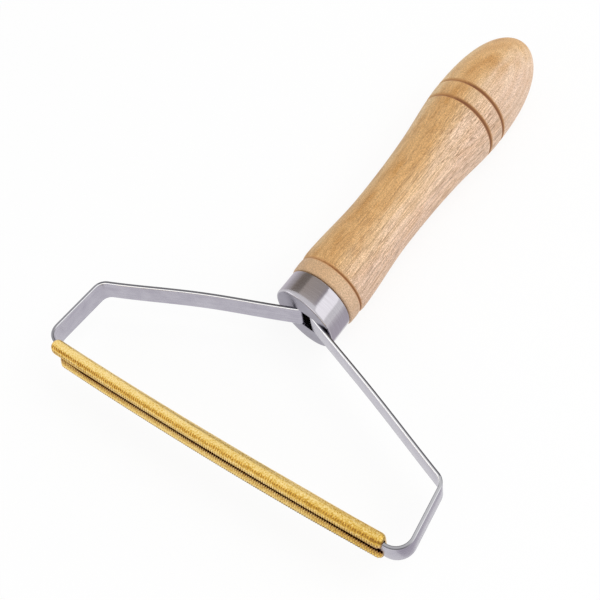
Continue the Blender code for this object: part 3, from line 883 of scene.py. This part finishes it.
# Ribs begin this many degrees from the top of each round and are full this much further on
RIB_FROM, RIB_FADE = 12.0, 20.0
# Half the slit's width at shares of the blade's length, and how far it lies above the middle at mid length
SLIT_SHARES = (0.0, 0.04, 0.09, 0.5, 0.9, 1.0)
SLIT_HALVES = (0.0001, 0.0001, 0.0008, 0.0013, 0.0009, 0.0011)
SLIT_RISE = 0.0024
# The blade in the picture is worn and bent: its left end is cut back, more at some heights than at others,
# its ends are pressed in, and it is bowed, askew, flatter to the right and slimmer than when it was folded
LEFT_END_SHORT = 0.0011
LEFT_CUT_HEIGHTS = (-0.0061, -0.0020, -0.0005, 0.0, 0.0009, 0.0037, 0.0061)
LEFT_CUTS = (0.0008, 0.0014, 0.0018, 0.0028, 0.0028, 0.0005, 0.0)
LEFT_CUT_REACH = 0.0200
END_ROUND = 0.0016
END_OPENING = 0.4
BOW_STATION = 0.0480
BOW_RISE = 0.00065
SKEW_RISE = 0.00039
FLATTENED = 0.09
ROUNDS_PRESSED = 0.95
# Strength of the marks' painted shade at shares of the length, and the dullness of the right end. The teeth's
# marks darken from the lip's root to its edge, less on the lower lip
MARK_SHARES, MARK_STRENGTH = (0.0, 0.35, 0.85, 1.0), (1.8, 1.3, 1.1, 1.4)
DULL_SHARES, DULL = (0.0, 0.75, 1.0), (0.0, 0.0, 0.45)
TEETH_MARKS = np.array([0.5, 0.7, 0.9, 1.0, 1.0, 1.0])
LOWER_TEETH_SHARE = 0.75
LOWER_LIP_SHADE = 0.4


def sheet_mesh(name, outer, inner):
    """Mesh of a bent sheet between two grids of points of the same shape, closed along its four edges.

    Quads join neighbours on the outer grid and, turned over, on the inner one, and a row of quads joins the
    two grids along each edge.
    """
    rows, columns = outer.shape[:2]
    index = np.arange(rows * columns).reshape(rows, columns)
    top = np.stack([index[:-1, :-1], index[1:, :-1], index[1:, 1:], index[:-1, 1:]], -1).reshape(-1, 4)
    under = top[:, ::-1] + rows * columns
    edge = np.concatenate([index[0, :-1], index[:-1, -1], index[-1, :0:-1], index[:0:-1, 0]])
    after = np.roll(edge, -1)
    sides = np.stack([edge, after, after + rows * columns, edge + rows * columns], -1)
    points = np.vstack([outer.reshape(-1, 3), inner.reshape(-1, 3)])
    mesh = bpy.data.meshes.new(name)
    mesh.from_pydata(points.tolist(), [], np.vstack([top, under, sides]).tolist())
    return mesh


teeth = round(SLEEVE_LENGTH / TOOTH_PITCH)
station = np.arange(teeth * SAMPLES_PER_TOOTH + 1)
left_end = SLEEVE_OFFSET - SLEEVE_LENGTH / 2 + LEFT_END_SHORT
length = SLEEVE_LENGTH - LEFT_END_SHORT
x = left_end + length * station / station[-1]
wave = 0.5 - 0.5 * np.cos(2.0 * np.pi * station / SAMPLES_PER_TOOTH)
share = (x - left_end) / length
slit_half = np.interp(share, SLIT_SHARES, SLIT_HALVES)
lip_height = slit_half + TOOTH_DEPTH * wave
# Section, from the lower lip round the lower round, the back wall and the upper round to the upper lip
lip_share = np.linspace(0.0, 1.0, LIP_POINTS)[:-1]
sweep = np.linspace(-LIP_LEAN, np.pi, ROUND_POINTS)
round_y = ROUND_MIDDLE - ROUND_RADIUS * np.cos(sweep)
round_z = ROUND_HEIGHT + ROUND_RADIUS * np.sin(sweep)
normal_y = -np.cos(sweep)
normal_z = np.sin(sweep)
lip_y = round_y[0] + (round_z[0] - lip_height) * math.tan(LIP_LEAN)
upper_y = np.concatenate([
    np.broadcast_to(round_y[::-1], (len(x), len(sweep))),
    lip_y[:, None] * lip_share[1:] + round_y[0] * (1.0 - lip_share[1:]),
    lip_y[:, None],
], axis=1)
upper_z = np.concatenate([
    np.broadcast_to(round_z[::-1], (len(x), len(sweep))),
    lip_height[:, None] * lip_share[1:] + round_z[0] * (1.0 - lip_share[1:]),
    lip_height[:, None],
], axis=1)
upper_ny = np.concatenate([normal_y[::-1], np.full(len(lip_share), normal_y[0])])
upper_nz = np.concatenate([normal_z[::-1], np.full(len(lip_share), normal_z[0])])
# Ribs are deepest from the front of each round to its lip, and fade out over the top
from_top = np.degrees(np.arctan2(-upper_ny, upper_nz))
rib_strength = np.clip((from_top - RIB_FROM) / RIB_FADE, 0.0, 1.0)
rib = RIB_DEPTH * rib_strength * (wave[:, None] - 1.0)


def both_halves(upper, sign):
    """The whole section's values, from the lower lip to the upper one, from those of its upper half."""
    return np.concatenate([sign * upper[..., ::-1], upper], axis=-1)


def end_scale():
    """How much of each round's size is left near the ends, where it is pressed in along a quarter ellipse."""
    from_end = np.clip(np.minimum(x - x[0], x[-1] - x) / END_ROUND, 0.0, 1.0)
    return END_OPENING + (1.0 - END_OPENING) * np.sqrt(1.0 - (1.0 - from_end) ** 2)


def lay_out(rise):
    """Grid of points of the sheet, moved along its outward normal by a rise, then pressed, cut and bent.

    Each round shrinks about its own middle at the ends, and the section is a little flatter to the right. The
    left end is cut back by a length read from the height, growing towards the front and dying out along the
    blade. The blade is bent by a parabola and stands askew on the strip, nearer the handle at its right.
    """
    flat = 1.0 - FLATTENED * np.clip(x / BOW_STATION, 0.0, 1.0) ** 2
    scale = (end_scale() * np.minimum(flat, ROUNDS_PRESSED))[:, None]
    y = ROUND_MIDDLE + (upper_y + upper_ny * rise - ROUND_MIDDLE) * scale
    z = (ROUND_HEIGHT * flat)[:, None] + (upper_z + upper_nz * rise - ROUND_HEIGHT) * scale
    y = both_halves(y, 1.0)
    z = both_halves(z, -1.0)
    slit_rise = SLIT_RISE * (1.0 - np.clip(np.abs(x) / BOW_STATION, 0.0, 1.0) ** 2)[:, None]
    z = z + slit_rise * np.clip(1.0 - np.abs(z) / ROUND_HEIGHT, 0.0, 1.0)
    forward = np.clip((SLEEVE_BACK - y) / SLEEVE_DEPTH, 0.0, 1.0)
    dying = np.clip(1.0 - (x - left_end) / LEFT_CUT_REACH, 0.0, 1.0)[:, None]
    along = x[:, None] + np.interp(z, LEFT_CUT_HEIGHTS, LEFT_CUTS) * forward * dying
    station = along / BOW_STATION
    y = y + BOW_RISE * station ** 2 + SKEW_RISE * station
    return np.stack([along, y - TOOL_MIDDLE, z], axis=-1)


sleeve_mesh = sheet_mesh("folded_blade", lay_out(rib), lay_out(np.full_like(rib, -SLEEVE_SHEET)))
keep_edges(sleeve_mesh, 50)


def band(middle, reach, power):
    """A band along the blade, by degrees from the round's top: a bell curve, squarer with a higher power."""
    return np.exp(-((from_top - middle) / reach) ** power)


# Painted shade of the ribs lies in their valleys, in rows where the light grazes them: two rows of dashes on
# the upper round, one on the lower, and the teeth
dashes = 0.7 * band(36.0, 16.0, 4) + 0.8 * band(78.0, 16.0, 4)
upper_marks = np.concatenate([dashes[:ROUND_POINTS], TEETH_MARKS])
lower_marks = np.concatenate([band(72.0, 20.0, 4)[:ROUND_POINTS], LOWER_TEETH_SHARE * TEETH_MARKS])
mark_strength = np.interp(share, MARK_SHARES, MARK_STRENGTH)[:, None]
valley = np.concatenate([lower_marks[::-1], upper_marks]) * (1.0 - wave[:, None]) * mark_strength
store(sleeve_mesh, "valley", valley.ravel())
# Painted shade deepens the gold where each round turns under and at the upper lip, and the gold also deepens
# towards the right end
upper_turn_shade = 1.1 * band(36.0, 17.0, 2) + 0.8 * (from_top > 84.0)
lower_turn_shade = 2.2 * band(64.0, 11.0, 2)
lower_turn_shade[ROUND_POINTS:] = LOWER_LIP_SHADE
deep = np.concatenate([lower_turn_shade[::-1], upper_turn_shade]) + np.interp(share, DULL_SHARES, DULL)[:, None]
store(sleeve_mesh, "deep", deep.ravel())
inside = np.concatenate([np.zeros(valley.size), np.ones(valley.size)])
store(sleeve_mesh, "inside", inside)

# Rolled brass: pale warm yellow, deeper gold with its pits and clouds and in painted shade, brown painted
# shade in the pressed valleys, and dark reddish painted shade inside the fold. Its pitted grain, 0.1 mm wide
# in truth, is drawn 0.45 mm wide to show.
brass, tree, shader, mm = begin_material("rolled brass sheet, satin, painted shade in the marks")
cloud = stretched_noise(tree, mm, (0.10, 0.5, 0.5), 3.0, 0.6)
pits = add_node(tree, "ShaderNodeTexNoise", {"Vector": mm, "Scale": 2.2, "Roughness": 0.7})
deep_mark = add_node(tree, "ShaderNodeAttribute", output="Fac", attribute_name="deep")
clouded = add_node(tree, "ShaderNodeMath", {0: cloud, 1: 0.8, 2: deep_mark}, operation="MULTIPLY_ADD")
pitted = add_node(tree, "ShaderNodeMath", {0: pits, 1: 4.0, 2: clouded}, operation="MULTIPLY_ADD")
pits_and_shade = add_node(tree, "ShaderNodeMapRange", {"Value": pitted, "From Min": 1.9, "From Max": 4.7})
gold = add_node(tree, "ShaderNodeValToRGB", {"Fac": pits_and_shade}, stops=[
    (0.0, linear("FDE3A2")),
    (1.0, linear("7E5C26")),
    (0.20, linear("F4D588")),
    (0.37, linear("E2BC60")),
    (0.57, linear("C99B3C")),
])
# The valleys' brown is painted shade of the ribs
valley_mark = add_node(tree, "ShaderNodeAttribute", output="Fac", attribute_name="valley")
valley_share = add_node(tree, "ShaderNodeMapRange", {"Value": valley_mark, "From Min": 0.25, "From Max": 1.2})
marked = add_node(tree, "ShaderNodeMix", {
    "Factor": valley_share, "A": gold, "B": linear("742A05"),
}, data_type="RGBA")
# The sheet's inside is painted dark reddish brown: painted shade in the fold, seen through the slit
inside_mark = add_node(tree, "ShaderNodeAttribute", output="Fac", attribute_name="inside")
brass_tone = add_node(tree, "ShaderNodeMix", {
    "Factor": inside_mark, "A": marked, "B": linear("94360A"),
}, data_type="RGBA")
rough = add_node(tree, "ShaderNodeMapRange", {
    "Value": cloud, "From Min": 0.3, "From Max": 0.7, "To Min": 0.30, "To Max": 0.40,
})
# Where shade is painted, in the valleys and inside the fold, the brass is less metallic and less shiny
painted_shade_marks = add_node(tree, "ShaderNodeMath", {0: valley_share, 1: inside_mark}, operation="MAXIMUM")
bare = add_node(tree, "ShaderNodeMapRange", {"Value": painted_shade_marks, "To Min": 1.0, "To Max": 0.0})
shine = add_node(tree, "ShaderNodeMapRange", {"Value": painted_shade_marks, "To Min": 0.5, "To Max": 0.05})
plug(tree, shader, Base_Color=brass_tone, Metallic=bare, Roughness=rough, Specular_IOR_Level=shine)
sleeve = place_object("folded_blade", sleeve_mesh, brass)
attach(sleeve, "root")
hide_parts("blade_sleeve")


# Glue
# The set resin in the blind bore, which holds the two tangs. It is hidden in the handle, and its colour is
# painted
# nearly black: painted shade for the dark slot that shows it. The CAD's solid stays as it is.
resin, tree, shader, mm = begin_material("set amber resin, painted nearly black as shade, glossy")
bubbles = add_node(tree, "ShaderNodeTexNoise", {"Vector": mm, "Scale": 0.6})
resin_shade_tone = add_node(tree, "ShaderNodeValToRGB", {"Fac": bubbles}, stops=[
    (0.35, linear("120C07")),
    (0.65, linear("1C130B")),
])
plug(tree, shader, Base_Color=resin_shade_tone, Roughness=0.3)
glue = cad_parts["tang_glue"]
for slot in glue.material_slots:
    slot.material = resin
